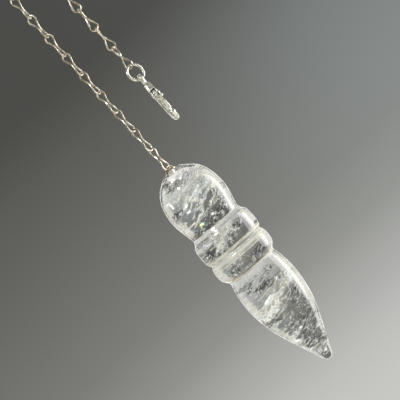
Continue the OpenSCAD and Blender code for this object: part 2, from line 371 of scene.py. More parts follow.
# %% The crystal and its drilled hole
QUARTZ_BEND = 1.544
POLISH = 0.02
crystal = Finish(
    "polished_quartz", Base_Color=colour(0.97, 0.975, 0.97), Roughness=POLISH, IOR=QUARTZ_BEND,
    Transmission_Weight=1.0,
)
polish_wave = crystal.noise(crystal.place(), 0.35, detail=4.0, roughness=0.55)
crystal.vary("Normal", crystal.bump(polish_wave, 0.1, 0.0001))
drilled = Finish(
    "drilled_quartz", Base_Color=colour(0.9, 0.9, 0.88), Roughness=0.55, IOR=QUARTZ_BEND,
    Transmission_Weight=0.6,
)
print("finishes", crystal.material.name, drilled.material.name)

# %% [markdown]
# ## The grooves: matte floors and painted reflections
#
# A polishing wheel doesn't reach the bottom of a groove, so the crystal is matte there. Cream
# lines along the grooves are painted reflections of light off the groove faces. Both are bands
# that are measured down the stone's own axis.

# %% Matte floors and painted cream reflections
# Middle depth and half height of each matte groove.
MATTE_GROOVES = [(first_top, 0.25), (second_top - 0.2, 0.45), (body_top, 0.35)]
# Middle depth, half height and cover of each painted cream reflection, a line or a band.
GLEAM_BANDS = [
    (second_top - 0.65, 0.58, 0.95), (second_top + 0.8, 0.85, 0.62), (second_top + 1.65, 0.22, 0.8),
    (body_top - 0.3, 0.34, 0.95), (first_top + 0.1, 0.2, 0.4),
]
PAINTED_GLEAM_COLOUR = colour(0.88, 0.85, 0.72)

upright = crystal.place(turn=(0, math.degrees(STONE_LEAN), 0))
along_axis = crystal.node("ShaderNodeSeparateXYZ", {}, upright, out=2)
flat_at = Matrix.Rotation(-STONE_LEAN, 3, "Y") @ (stone_place.to_translation() / MM)
depth_below = flat_at.z - along_axis
smear = crystal.noise(crystal.place((1.6, 1, 0.5)), 0.8, detail=2.0)
matte = sum(depth_below.band(valley, half) for valley, half in MATTE_GROOVES)
crystal.vary("Roughness", POLISH + matte * smear.step(0.3, 0.6, 0.25, 0.6))
# Painted reflection: cream lines where the groove faces would mirror the light.
gleam_cover = sum(depth_below.band(middle, half) * share for middle, half, share in GLEAM_BANDS)
gleam_share = gleam_cover * smear.step(0.25, 0.5, 0.5, 1.0)
print("matte grooves", len(MATTE_GROOVES), "cream bands", len(GLEAM_BANDS))

# %% [markdown]
# ## Letting the lamps in
#
# Real light gets into a crystal through refraction, which a path tracer finds only by luck. So
# rays that ask for a lamp meet a clear shader instead of the glass, and the clouds inside are
# lit. The painted cream reflections lie over both.

# %% Join the crystal's shaders
clear = crystal.node("ShaderNodeBsdfTransparent", {}, Color=colour(0.93, 0.94, 0.94))
lamp_ray = crystal.node("ShaderNodeLightPath", {}, out=1)
glass = Term(crystal, crystal.shader.outputs[0])
open_glass = crystal.node("ShaderNodeMixShader", {}, lamp_ray, glass, clear)
# A cream diffuse shader paints the groove reflections.
cream = crystal.node("ShaderNodeBsdfDiffuse", {}, Color=PAINTED_GLEAM_COLOUR)
crystal_surface = crystal.node("ShaderNodeMixShader", {}, gleam_share, open_glass, cream)
crystal.feed(crystal.output.inputs["Surface"], crystal_surface)
print("nodes in the crystal", len(crystal.tree.nodes))

# %% [markdown]
# ## Turning the stone
#
# The outline is a row of vertices joined by edges, and spin carries it once round the axis.
# The blind hole for the eye's peg is a second short outline at its start.

# %% Spin the outline
TURN_STEPS = 120
MERGE = 1e-5


def spun(outline, steps):
    """Carries an outline of radius and height once round the upright axis."""
    bm = bmesh.new()
    verts = [bm.verts.new((p.x, 0, p.y)) for p in outline]
    edges = [bm.edges.new(pair) for pair in zip(verts, verts[1:])]
    bmesh.ops.spin(
        bm, geom=verts + edges, cent=(0, 0, 0), axis=(0, 0, 1),
        angle=math.tau, steps=steps, use_merge=True,
    )
    bmesh.ops.remove_doubles(bm, verts=bm.verts, dist=MERGE)
    bmesh.ops.recalc_face_normals(bm, faces=bm.faces)
    return bm


hole = [Vector((0, -HOLE_DEPTH)), Vector((HOLE_RADIUS, -HOLE_DEPTH)), rim]
bm = spun(hole + outside[1:], TURN_STEPS)
for face in bm.faces:
    middle = face.calc_center_median()
    if math.hypot(middle.x, middle.y) < HOLE_RADIUS + 0.01 and middle.z > -HOLE_DEPTH - 0.1:
        face.material_index = 1
stone = piece_from(
    bm, "quartz_stone", stone_place, "pendulum", [crystal, drilled], replaces=["stone"]
)
print("stone faces", len(stone.data.polygons))

# %% [markdown]
# ## The look of a veil
#
# Natural crystal healed around thin sheets of trapped bubbles, which cross it on a slant and
# look like torn white veils. The finish is a plain white with holes: a streaky noise and the
# sheet's own density decide where it is seen.

# %% The veil finish
STREAK_RISE = 24
STREAK_TURN = (0, -STREAK_RISE, 0)
CREAM_WHITE = colour(0.92, 0.90, 0.78)
COOL_WHITE = colour(0.86, 0.89, 0.92)
veil = Finish("white_veil", Roughness=0.5)
torn = veil.noise(
    veil.place((3.4, 1.8, 1.1), STREAK_TURN), 1.0, detail=7.0, roughness=0.7, distortion=0.4
)
grain = veil.noise(veil.place((1.2, 1, 1)), 2.3, detail=3.0, roughness=0.75)
tint = veil.noise(veil.place(), 0.25, detail=2.0)
veil.vary("Base Color", veil.blend(tint.step(0.42, 0.58), CREAM_WHITE, COOL_WHITE))
seen = (torn + veil.haze() * 0.5).step(0.77, 0.92) * grain.step(0.42, 0.55, 0.04, 1.0)
veil.vary("Alpha", seen.clamped())
print("nodes in the veil", len(veil.tree.nodes))

# %% [markdown]
# ## A sheet inside the stone
#
# Each veil, crack or spot is a grid of fine faces, waved and tilted, and cut where it would
# leave the stone. A value on its vertices says how dense it is.

# %% The sheet helper
WALL_MARGIN = 0.12
WALL_FADE = (-0.2, 0.35)
PEG_MARGIN = 0.4


def fade(value, low, high):
    """Eases from 0 at the low value to 1 at the high value."""
    t = min(1.0, max(0.0, (value - low) / (high - low)))
    return t * t * (3 - 2 * t)


def wall_distance(point):
    """How far a point lies inside the stone's wall, measured across its axis."""
    return stone_radius(-point.z) - math.hypot(point.x, point.y)


def near_peg(point):
    return point.z > -HOLE_DEPTH - PEG_MARGIN and math.hypot(point.x, point.y) < HOLE_RADIUS + PEG_MARGIN


def ripple(x, y, phases):
    """Three crossing waves, shifted by their phases."""
    return (
        math.sin(x * 0.55 + phases[0]) * math.cos(y * 0.4 + phases[1])
        + 0.45 * math.sin(x * 1.3 + y * 0.9 + phases[2])
        + 0.2 * math.sin(y * 2.3 - x * 1.1 + phases[3])
    )


def add_sheet(bm, layer, middle, size, cells, rise, tilt, wave, density, soft_edge=0.0):
    """One waved sheet about a middle point, kept inside the stone's wall."""
    made = bmesh.ops.create_grid(bm, x_segments=cells, y_segments=cells, size=0.5)
    turn = Matrix.Rotation(math.radians(-rise), 3, "Y") @ Matrix.Rotation(math.radians(tilt), 3, "X")
    phases = [draw.uniform(0, math.tau) for _ in range(4)]
    lost = []
    for vert in made["verts"]:
        u, v = vert.co.x * 2, vert.co.y * 2
        x, y = u * size[0] / 2, v * size[1] / 2
        vert.co = middle + turn @ Vector((x, y, wave * ripple(x, y, phases)))
        inset = wall_distance(vert.co) - WALL_MARGIN
        border = 1 - fade(math.hypot(u, v), 1 - soft_edge, 1.0) if soft_edge else 1.0
        vert[layer] = density * fade(inset, *WALL_FADE) * border
        if inset <= 0 or near_peg(vert.co):
            lost.append(vert)
    bmesh.ops.delete(bm, geom=lost, context="VERTS")


def set_in_stone(bm, name, finish):
    """Places a bmesh inside the stone and prints its faces."""
    piece = piece_from(bm, name, stone_place, "pendulum", [finish])
    print(name, "faces", len(piece.data.polygons))


draw = random.Random(7)
print("sheets end before the wall, mm", WALL_MARGIN)

# %% [markdown]
# ## Where the crystal is cloudy
#
# The light and dark places are listed, as seen from the front. Each row is a soft oval
# that makes the veils denser or thinner.

# %% The map of clouds
# Across, depth, half width, half height, rise, change.
CLOUD_MAP = [
    (1.4, 13.2, 4.6, 1.2, 4, -0.7), (-4.6, 8.8, 2.4, 1.2, 12, -0.45), (2.4, 3.6, 3.2, 1.8, 10, -0.35),
    (-3.0, 3.6, 2.6, 1.8, 30, -0.3), (0.4, 6.8, 3.6, 1.8, 20, 0.1), (3.6, 8.8, 2.4, 1.8, 24, 0.1),
    (2.2, 19.2, 3.4, 1.1, 24, -0.45), (-4.6, 19.8, 2.0, 1.2, 20, -0.4), (-1.2, 18.6, 2.6, 0.6, 48, 0.4),
    (1.6, 25.0, 3.6, 1.2, 6, -0.5), (-3.0, 24.8, 1.4, 1.2, 6, -0.5), (0.6, 30.0, 4.6, 2.0, 10, -0.45),
    (-4.4, 29.6, 2.2, 1.8, 30, 0.1), (0.2, 34.2, 6.4, 1.1, 22, 0.35), (3.0, 37.2, 3.6, 1.3, 34, -0.6),
    (-3.8, 37.4, 2.8, 1.6, 20, 0.2), (1.4, 41.2, 3.4, 1.8, 12, -0.45), (-3.0, 44.6, 1.4, 2.4, 10, 0.25),
    (0.8, 46.8, 1.8, 1.6, 10, -0.45), (0.0, 50.8, 1.6, 1.0, 20, 0.3),
]


def cloudiness(point):
    """What the map adds to a veil's density at a point, as seen from the front."""
    total = 0.0
    for across, depth, wide, high, rise, change in CLOUD_MAP:
        x, z = point.x - across, point.z + depth
        c, s = math.cos(math.radians(rise)), math.sin(math.radians(rise))
        total += change * math.exp(-(((x * c + z * s) / wide) ** 2) - ((z * c - x * s) / high) ** 2)
    return total


print("places in the map", len(CLOUD_MAP))

# %% [markdown]
# ## Hanging the veils
#
# Large sheets cross the stone one below another. A renderer follows only a few see-through
# layers behind each other, so where noise leaves a veil thin, its faces are taken away.

# %% Hang the veils in the stone
VEIL_CELLS = 46
VEIL_SIZE = (19, 19)
STREAK_SIZE = (2.4, 1.6, 1.1)
TORN_RANGE = (-0.28, 0.04)
CROWN_RANGE = (-3.2, -1.8)
THINNEST = 0.2
# Depth, turn that raises the right side, tilt towards the viewer, wave height, density.
VEILS = [
    (0.6, 3, 7, 0.1, 0.54), (1.5, -4, -9, 0.15, 0.6), (1.6, 8, 22, 0.4, 0.58),
    (2.6, 14, 30, 0.5, 0.6), (4.2, 22, 42, 0.5, 0.64), (5.8, 26, 30, 0.7, 0.72),
    (7.4, 20, 44, 0.6, 0.72), (9.0, 28, 33, 0.6, 0.66), (10.8, 18, 46, 0.6, 0.58),
    (13.0, 24, 40, 0.6, 0.52), (15.8, 30, 36, 0.5, 0.6), (18.0, 42, 30, 0.6, 0.66),
    (20.4, 24, 40, 0.5, 0.6), (22.6, 14, 26, 0.4, 0.7), (25.0, 20, 40, 0.5, 0.6),
    (28.0, 22, 46, 0.6, 0.44), (31.0, 24, 32, 0.7, 0.54), (33.2, 26, 38, 0.6, 0.64),
    (35.2, 24, 34, 0.6, 0.64), (37.6, 22, 46, 0.6, 0.62), (40.0, 28, 38, 0.5, 0.68),
    (42.6, 26, 42, 0.5, 0.72), (45.4, 24, 46, 0.5, 0.7), (48.2, 20, 50, 0.3, 0.78),
    (50.6, 20, 40, 0.2, 0.90),
]

bm = bmesh.new()
haze = bm.verts.layers.float.new("haze")
for depth, rise, tilt, wave, density in VEILS:
    add_sheet(bm, haze, Vector((0, 0, -depth)), VEIL_SIZE, VEIL_CELLS, rise, tilt, wave, density)
squeeze = Matrix.Diagonal([1 / size for size in STREAK_SIZE])
streak = squeeze @ Matrix.Rotation(math.radians(STREAK_RISE), 3, "Y")
for vert in bm.verts:
    kept = max(fade(noise.noise(streak @ vert.co), *TORN_RANGE), fade(vert.co.z, *CROWN_RANGE))
    vert[haze] *= kept * max(0.0, 1 + cloudiness(vert.co))
thin = [vert for vert in bm.verts if vert[haze] < THINNEST]
bmesh.ops.delete(bm, geom=thin, context="VERTS")
set_in_stone(bm, "inner_veils", veil)

# %% [markdown]
# ## Crackled patches
#
# Where a crack holds a film of air it turns the light away, so it shows the dark side of the
# room in one spot and the lamp in the next. These small sheets paint that with a fine black and
# white crackle: the black is a painted reflection of the dark room and the white a painted
# reflection of the lamp. The noise breaks up their edges. Each has a twin in the back of the stone.

# %% Set the crackled patches
CRACK_CELLS = 24
CRACK_WAVE = 0.25
CRACK_EDGE = 0.6
TWIN_DROP = 1.0
crackle = Finish("black_and_white_crackle", Roughness=0.3)
broken = crackle.noise(crackle.place((1.9, 1.4, 1.1), STREAK_TURN), 1.2, detail=6.0, roughness=0.7)
fine = crackle.noise(
    crackle.place((1.5, 1, 1), STREAK_TURN), 2.3, detail=2.0, roughness=0.6, distortion=0.8
)
# Painted reflections: black for the dark room, white for the lamp.
painted_mirror_tone = crackle.blend(fine.step(0.52, 0.62), colour(0.035, 0.036, 0.034), colour(0.8, 0.8, 0.75))
crackle.vary("Base Color", painted_mirror_tone)
crackle.vary("Alpha", ((broken + crackle.haze() * 0.4).step(0.62, 0.82) * 0.88).clamped())
# Across, back (below 0 is nearer the viewer), depth, width, height, rise, tilt, density.
CRACKS = [
    (1.4, -3.0, 3.6, 5.6, 3.0, 14, 60, 0.55), (-2.8, -2.8, 3.4, 3.4, 2.8, 30, 62, 0.5),
    (0.8, -3.6, 29.4, 7.6, 3.2, 8, 70, 0.45), (-3.8, -3.0, 29.8, 3.4, 3.4, 40, 68, 0.6),
    (-4.6, -3.0, 8.6, 5.4, 3.6, 14, 66, 0.7), (1.8, -3.4, 13.2, 7.6, 3.2, 10, 72, 1.0),
    (-3.6, -2.6, 13.8, 4.0, 1.6, 6, 72, 0.6), (-4.6, -2.6, 19.4, 3.6, 3.0, 20, 70, 0.9),
    (1.6, -3.8, 18.6, 6.4, 3.2, 26, 66, 1.0), (2.6, -3.4, 25.0, 5.0, 2.8, 8, 72, 1.0),
    (-2.8, -3.4, 24.8, 2.6, 2.4, 8, 72, 0.8), (-0.4, -3.0, 31.6, 6.0, 2.0, 18, 68, 0.8),
    (2.6, -2.8, 37.0, 5.6, 4.4, 30, 68, 0.9), (-0.6, -2.4, 41.6, 5.0, 3.6, 20, 62, 0.6),
    (-1.2, -1.4, 47.2, 3.6, 4.0, 30, 70, 0.8),
]
bm = bmesh.new()
haze = bm.verts.layers.float.new("haze")
for across, back, depth, width, tall, rise, tilt, density in CRACKS:
    for side, drop in ((1, 0.0), (-1, TWIN_DROP)):
        middle = Vector((side * across, side * back, -depth - drop))
        add_sheet(
            bm, haze, middle, (width, tall), CRACK_CELLS, side * rise, side * tilt,
            CRACK_WAVE, density, CRACK_EDGE,
        )
set_in_stone(bm, "crackled_patches", crackle)

# %% [markdown]
# ## Flecks
#
# Between the veils the crystal is full of tiny facets that catch the lamp one by one. Each is
# one small triangle from the circle operator, in batches, because a large mesh slows it down.
# The draw has a fixed seed, so chance always places them in the same way.

# %% Scatter the flecks
FLECKS = 6000
FLECK_MARGIN = 0.24
FLECK_TOP, FLECK_END = 0.8, 1.5
BATCH = 200
fleck = Finish("white_fleck", Base_Color=colour(0.9, 0.9, 0.87), Roughness=0.25)


def fleck_chance(depth, across, angle):
    """How likely a fleck is at a place: they lie in bands, and closer in the crown."""
    band = math.sin(depth * 1.1 + across * 0.45 + 0.8) + 0.6 * math.sin(depth * 0.37 + angle)
    return 0.25 + 0.4 * band + 0.4 * fade(8 - depth, 0, 4)


def fleck_place():
    """Draws where a fleck lies, how large it is and how it is turned."""
    while True:
        depth = draw.uniform(FLECK_TOP, STONE_LENGTH - FLECK_END)
        reach = (stone_radius(depth) - FLECK_MARGIN) * math.sqrt(draw.random())
        angle = draw.uniform(0, math.tau)
        middle = Vector((reach * math.cos(angle), reach * math.sin(angle), -depth))
        fits = reach > 0 and not near_peg(middle)
        if fits and draw.random() <= fleck_chance(depth, middle.x, angle):
            break
    size = 0.06 + 0.16 * draw.random() ** 3
    axis = Vector((draw.gauss(0, 1), draw.gauss(0, 1), draw.gauss(0, 1)))
    turn = Matrix.Rotation(draw.uniform(0, math.tau), 4, axis)
    return size, Matrix.Translation(middle) @ turn @ Matrix.Diagonal((1, draw.uniform(0.3, 0.8), 1, 1))


bm = bmesh.new()
for _ in range(FLECKS // BATCH):
    batch = bmesh.new()
    for _ in range(BATCH):
        size, matrix = fleck_place()
        bmesh.ops.create_circle(batch, cap_ends=True, segments=3, radius=size, matrix=matrix)
    pour(bm, batch)
set_in_stone(bm, "inner_flecks", fleck)

# %% [markdown]
# ## Glints and stains
#
# A crack that faces the soft box mirrors it, so a few small shards shine white, and one splits
# the light into blue and yellow. The shards get a little light of their own, because a path
# tracer seldom finds a lamp that is seen by way of two curved walls. Three brown iron stains
# sit near the left wall.

# %% The finish of a spot
def spot_finish(name, dark, light, glow, tint_scale=0.9):
    finish = Finish(name, Roughness=0.25, Emission_Strength=glow)
    ragged = finish.noise(finish.place(), 1.8, detail=4.0, roughness=0.75)
    tone = finish.noise(finish.place(), tint_scale, detail=1.0).step(0.46, 0.54)
    tint = finish.blend(tone, dark, light)
    finish.vary("Base Color", tint)
    finish.vary("Emission Color", tint)
    finish.vary("Alpha", (finish.haze() * 0.55 + ragged).step(0.68, 0.92))
    return finish


glint_white = spot_finish("glint_white", colour(0.86, 0.88, 0.92), colour(0.95, 0.94, 0.88), 0.4)
glint_rainbow = spot_finish("glint_rainbow", colour(0.30, 0.82, 0.92), colour(0.93, 0.88, 0.34), 0.5, 1.6)
stain_brown = spot_finish("stain_brown", colour(0.46, 0.26, 0.10), colour(0.72, 0.52, 0.27), 0.0)
print("finishes so far", len(bpy.data.materials))

# %% [markdown]
# ## Setting the spots
#
# Each spot is a small sheet that stands nearly upright, just behind the front wall.

# %% Set the glints and the stains
SPOT_CELLS = 12
SPOT_TILT = 78
SPOT_WAVE = 0.03
SPOT_DENSITY = 0.84
SPOT_EDGE = 0.9
SPOT_REACH = 0.75
SPOT_MARGIN = 1.0
LEAST_CHORD = 0.2
# Across, depth, width, height, rise.
SPOTS = {
    "white_glints": (glint_white, [
        (-4.2, 6.0, 1.2, 3.2, 6), (-2.0, 8.0, 1.8, 1.2, 30), (-2.4, 9.2, 2.0, 0.9, 0),
        (0.6, 3.0, 1.4, 1.0, 30), (-0.9, 2.4, 2.4, 2.0, 50), (-0.9, 16.5, 1.8, 0.8, -12),
        (2.2, 14.2, 1.6, 0.8, 30), (0.8, 12.6, 1.2, 1.6, 60), (-6.0, 35.2, 1.4, 1.6, 70),
        (2.0, 32.0, 1.4, 0.9, 40), (-1.9, 34.2, 4.0, 1.0, 22), (-0.5, 43.1, 1.6, 1.1, 10),
        (2.2, 45.5, 3.6, 0.5, -4), (-2.6, 45.0, 1.3, 2.4, 70), (3.6, 43.2, 4.6, 0.5, 62),
        (-1.4, 48.5, 2.0, 0.9, 30), (0.3, 50.8, 1.4, 1.4, 50),
    ]),
    "rainbow_glint": (glint_rainbow, [(-2.1, 12.9, 2.6, 1.5, 0)]),
    "iron_stains": (stain_brown, [
        (-5.0, 13.6, 2.2, 1.2, 10), (-4.1, 26.2, 2.2, 3.0, 60), (-5.9, 7.2, 1.3, 0.9, 0),
    ]),
}
for name, (finish, spots) in SPOTS.items():
    bm = bmesh.new()
    haze = bm.verts.layers.float.new("haze")
    for across, depth, width, tall, rise in spots:
        chord = math.sqrt(max(LEAST_CHORD, (stone_radius(depth) - SPOT_MARGIN) ** 2 - across * across))
        middle = Vector((across, -SPOT_REACH * chord, -depth))
        add_sheet(
            bm, haze, middle, (width, tall), SPOT_CELLS, rise, SPOT_TILT,
            SPOT_WAVE, SPOT_DENSITY, SPOT_EDGE,
        )
    set_in_stone(bm, name, finish)

# %% [markdown]
# ## The chain's wire
#
# Each link is one closed wire, bent into two loops that stand at right angles and nearly touch
# at the waist. The points of one quarter are worked out once, and the other three follow by
# turning them.

# %% The path of one link's wire
LINK_WIRE = 0.36
LOOP_WIDTH = 2.25
HANG_GAP = 0.12
WAIST_GAP = 0.22
WAIST_SHARE = 0.115
TWIST_FROM = 0.45
TWIST_POWER = 2.2
ARC_COUNT, FLANK_COUNT = 9, 9
loop_radius = (LOOP_WIDTH - LINK_WIRE) / 2
joint_drop = LINK_WIRE + HANG_GAP
half_core = (LINK_PITCH + joint_drop) / 2
waist_half = (LINK_WIRE + WAIST_GAP) / 2
waist_z = WAIST_SHARE * half_core
arc_centre = half_core - loop_radius
flank_reach = math.hypot(waist_half, arc_centre - waist_z)
arc_end = math.pi - math.atan(waist_half / (arc_centre - waist_z)) - math.acos(loop_radius / flank_reach)


def on_wire(half_width, height, turn):
    return Vector((half_width * math.cos(turn), half_width * math.sin(turn), height))


def quarter():
    """One side of one loop, from its crown down to the waist."""
    points = []
    for i in range(ARC_COUNT + 1):
        a = arc_end * i / ARC_COUNT
        points.append(on_wire(loop_radius * math.sin(a), arc_centre + loop_radius * math.cos(a), 0))
    start = (loop_radius * math.sin(arc_end), arc_centre + loop_radius * math.cos(arc_end))
    for i in range(1, FLANK_COUNT + 1):
        s = i / FLANK_COUNT
        twist = math.pi / 8 * max(0.0, (s - TWIST_FROM) / (1 - TWIST_FROM)) ** TWIST_POWER
        half_width = start[0] + s * (waist_half - start[0])
        points.append(on_wire(half_width, start[1] + s * (waist_z - start[1]), twist))
    for s in (0.66, 0.33):
        points.append(on_wire(waist_half, waist_z * s, math.pi / 4 - math.pi / 8 * s))
    return points


down = quarter() + [on_wire(waist_half, 0, math.pi / 4)]
to_other_loop = Matrix(((0, 1, 0), (1, 0, 0), (0, 0, -1)))
down += [to_other_loop @ p for p in reversed(down[:-1])]
half_turn = Matrix.Rotation(math.pi, 3, "Z")
wire_path = down + [half_turn @ p for p in reversed(down[1:-1])]
print("points round a link", len(wire_path))

# %% [markdown]
# ## Wire from a curve
#
# A curve with a round bevel is the natural tool for wire: it keeps its thickness round every
# bend. It is turned into a mesh at once.

# %% The wire helper
def wire_mesh(points, radius, roundness, closed=True):
    """A round wire along a path, as a mesh."""
    curve = bpy.data.curves.new("wire", "CURVE")
    curve.dimensions = "3D"
    curve.bevel_depth = radius
    curve.bevel_resolution = roundness
    spline = curve.splines.new("POLY")
    spline.points.add(len(points) - 1)
    for knot, point in zip(spline.points, points):
        knot.co = (*point, 1)
    spline.use_cyclic_u = closed
    curve.use_fill_caps = not closed
    holder = bpy.data.objects.new("wire", curve)
    mesh = bpy.data.meshes.new_from_object(holder)
    bpy.data.objects.remove(holder)
    bpy.data.curves.remove(curve)
    return mesh


one_link = wire_mesh(wire_path, LINK_WIRE / 2, 2)
print("faces in a link", len(one_link.polygons))

# %% [markdown]
# ## Plated metal
#
# The chain is brass with a thin pale plating that has gone warm and brown in its joints. A
# slow noise mixes the two colours, and a finer one breaks up the polish.

# %% Three plated finishes
def plated(name, bright, brown, share, rough):
    """Plated brass: its bright and worn colours, how much stays bright, and its roughness."""
    finish = Finish(name, Metallic=1.0)
    at = finish.place()
    cloud = finish.noise(at, 1.2, detail=4.0, roughness=0.6)
    scuffs = finish.noise(at, 7.2, detail=3.0)
    worn = (cloud + scuffs * 0.2).step(share - 0.1, share + 0.2)
    finish.vary("Base Color", finish.blend(worn, colour(*bright), colour(*brown)))
    finish.vary("Roughness", rough + scuffs * 0.1)
    finish.vary("Normal", finish.bump(scuffs, 0.04, 0.00001))
    return finish


chain_metal = plated("champagne_plate", (0.82, 0.775, 0.66), (0.36, 0.28, 0.17), 0.58, 0.26)
eye_metal = plated("gold_brown_plate", (0.80, 0.70, 0.52), (0.32, 0.23, 0.12), 0.56, 0.26)
clasp_metal = plated("cream_silver_plate", (0.92, 0.92, 0.83), (0.30, 0.28, 0.21), 0.62, 0.18)
print("finishes so far", len(bpy.data.materials))

# %% [markdown]
# ## Hanging the links
#
# Every link is a copy of the one wire. It starts where the link below it ends, leans with its
# stretch of the chain, and is turned about that stretch as the loops of the real chain are.

# %% Hang the links
STONE_SIDE_TURNS = [-44, -40, -36, -33, -29, -26, -23, -20, -18, -15, -12, -10, -7, -5, -3, -1, 0]
FREE_SIDE_TURNS = [0, 0, 0, 0, 0, 0, -4, -8, -12, -14, -6, 10, 29]
turns = STONE_SIDE_TURNS + [0] * TOP_LINKS + FREE_SIDE_TURNS
top_lean = math.degrees(TOP_LEAN)
angles = [90] * STONE_LINKS + [top_lean, 0, -top_lean] + [-90] * FREE_LINKS

joint = first_joint.copy()
for number, (angle, turn) in enumerate(zip(angles, turns), start=1):
    place = (
        Matrix.Scale(MM, 4)
        @ Matrix.Translation(joint)
        @ Matrix.Rotation(math.radians(90 - angle), 4, "Y")
        @ Matrix.Rotation(math.radians(turn), 4, "Z")
        @ Matrix.Translation((0, 0, half_core))
    )
    node = "link_%02d" % number
    piece_of_mesh(one_link.copy(), "wire_" + node, place, "chain", [chain_metal], [node])
    joint += LINK_PITCH * Vector((math.cos(math.radians(angle)), 0, math.sin(math.radians(angle))))
bpy.data.meshes.remove(one_link)
print("links", number, "last joint, mm", [round(c, 3) for c in joint])

# %% [markdown]
# ## The clasp
#
# A lobster clasp is cast, tumbled and riveted, so every edge of it is round and gets a bevel.
# The sizes are those of the packed model, so the lever keeps its clearance in the slot.

# %% The clasp's sizes
CLASP_LENGTH = 13.1
CLASP_TURN = math.radians(2)
TAIL_DIAMETER, TAIL_WIRE = 3.1, 0.84
HOUSING_WIDTH, CHEEK_WIDTH, RIVET_WIDTH = 1.5, 1.6, 2.0
CHEEK_DIAMETER, RIVET_DIAMETER, PIN_DIAMETER = 2.6, 1.3, 0.6
HOOK_DIAMETER, HOOK_WIRE, HOOK_TIP_AT = 5.6, 1.4, 210
BALL_DIAMETER = HOOK_WIRE + 0.1
PIVOT_BACK, PIVOT_DOWN = 0.34, 0.33
LEVER_GAP, HUB_WIDTH, ARM_WIDTH = 0.1, 0.8, 1.2
HUB_DIAMETER = CHEEK_DIAMETER - 0.5
TAB_LENGTH, TAB_HEIGHT, TAB_WIDTH, TAB_SHARE = 1.0, 0.7, 1.9, 0.32
RING_DIAMETER, RING_WIRE = 4.4, 0.56
PART_OVERLAP = 0.1

half_hook = HOOK_DIAMETER / 2
hook_radius = (HOOK_DIAMETER - HOOK_WIRE) / 2
hook_centre = Vector((0, 0, -(CLASP_LENGTH - TAIL_DIAMETER / 2 - half_hook)))
pivot_at = Vector((0, -PIVOT_BACK * half_hook, -PIVOT_DOWN * CLASP_LENGTH))
hub_radius = HUB_DIAMETER / 2
slot_half = HUB_WIDTH / 2 + LEVER_GAP
slot_back = pivot_at.y + hub_radius + 3 * LEVER_GAP
slot_top = pivot_at.z + hub_radius + 2 * LEVER_GAP


def on_hook(angle):
    """A point of the hook's round bend, at an angle in radians."""
    return hook_centre + hook_radius * Vector((0, math.cos(angle), math.sin(angle)))


hook_tip = on_hook(math.radians(HOOK_TIP_AT))
last_crown = joint.z - joint_drop
ring_centre_z = last_crown + LINK_WIRE / 2 + HANG_GAP + RING_WIRE - RING_DIAMETER / 2
tail_hole = TAIL_DIAMETER / 2 - TAIL_WIRE
tail_z = ring_centre_z + RING_WIRE / 2 + HANG_GAP - tail_hole - (RING_DIAMETER - RING_WIRE) / 2
clasp_place = (
    Matrix.Scale(MM, 4)
    @ Matrix.Translation((joint.x, 0, tail_z))
    @ Matrix.Rotation(CLASP_TURN, 4, "Z")
)
print("tail loop, mm", round(joint.x, 3), round(tail_z, 3))

# %% [markdown]
# ## Shapes with rounded edges
#
# Three plain shapes make the clasp: a slab pushed out from its outline, a pin, and a bored disc
# that is a rectangle spun round the pin. Each one is bevelled before it joins the piece.

# %% Slabs, pins and bored discs
BEVEL_FROM = math.radians(25)
ROUND_STEPS = 32


def join_rounded(bm, part, ease):
    """Rounds every edge of a part that bends sharply, then adds the part to a piece."""
    bmesh.ops.recalc_face_normals(part, faces=part.faces)
    sharp = [e for e in part.edges if len(e.link_faces) == 2 and e.calc_face_angle() > BEVEL_FROM]
    if ease:
        bmesh.ops.bevel(
            part, geom=sharp, offset=ease, segments=3, profile=0.5,
            affect="EDGES", material=-1, clamp_overlap=True,
        )
    pour(bm, part)


def add_slab(bm, outline, low, high, ease):
    """A plate with an outline in the clasp's side view, between two widths."""
    part = bmesh.new()
    face = part.faces.new([part.verts.new((low, y, z)) for y, z in outline])
    made = bmesh.ops.extrude_face_region(part, geom=[face])["geom"]
    far = [v for v in made if isinstance(v, bmesh.types.BMVert)]
    bmesh.ops.translate(part, verts=far, vec=(high - low, 0, 0))
    join_rounded(bm, part, ease)


def add_pin(bm, middle, radius, low, high, ease):
    """A round pin or disc across the clasp, between two widths."""
    part = bmesh.new()
    at = Matrix.Translation((low / 2 + high / 2, middle.y, middle.z))
    bmesh.ops.create_cone(
        part, cap_ends=True, segments=ROUND_STEPS, radius1=radius, radius2=radius, depth=high - low,
        matrix=at @ Matrix.Rotation(math.pi / 2, 4, "Y"),
    )
    join_rounded(bm, part, ease)


def spin_across(part, geom, middle, steps):
    """Carries edges once round an axis that runs across the clasp."""
    bmesh.ops.spin(
        part, geom=geom, cent=middle, axis=(1, 0, 0), angle=math.tau, steps=steps, use_merge=True
    )
    bmesh.ops.remove_doubles(part, verts=part.verts, dist=MERGE)


def add_washer(bm, middle, bore, radius, low, high, ease):
    """A bored disc across the clasp: a rectangle spun about the cross axis."""
    part = bmesh.new()
    corners = [(low, bore), (high, bore), (high, radius), (low, radius)]
    verts = [part.verts.new((x, middle.y, middle.z + reach)) for x, reach in corners]
    edges = [part.edges.new(pair) for pair in zip(verts, verts[1:] + verts[:1])]
    spin_across(part, verts + edges, middle, ROUND_STEPS)
    join_rounded(bm, part, ease)


print("edges are rounded over", round(math.degrees(BEVEL_FROM)), "degrees")

# %% [markdown]
# ## The clasp's body
#
# The tail ring is a circle spun about the cross axis, and the hook is a bent bar with a ball
# on its tip. Two cheeks and a core leave the slot that the lever turns in, and the rivet's
# heads stand a little proud of the cheeks.

# %% Build the clasp's body
HOUSING = [
    (-0.26, -0.095), (0.26, -0.095), (0.62, -0.2), (0.72, -0.36),
    (0.42, -0.417), (-0.36, -0.421), (-0.66, -0.305),
]
TAIL_SIDES, TAIL_STEPS = 14, 40
BEND_STEP = 8
ARM_LEAN = 11.4
FIXED_ARM_SHARE = 0.42

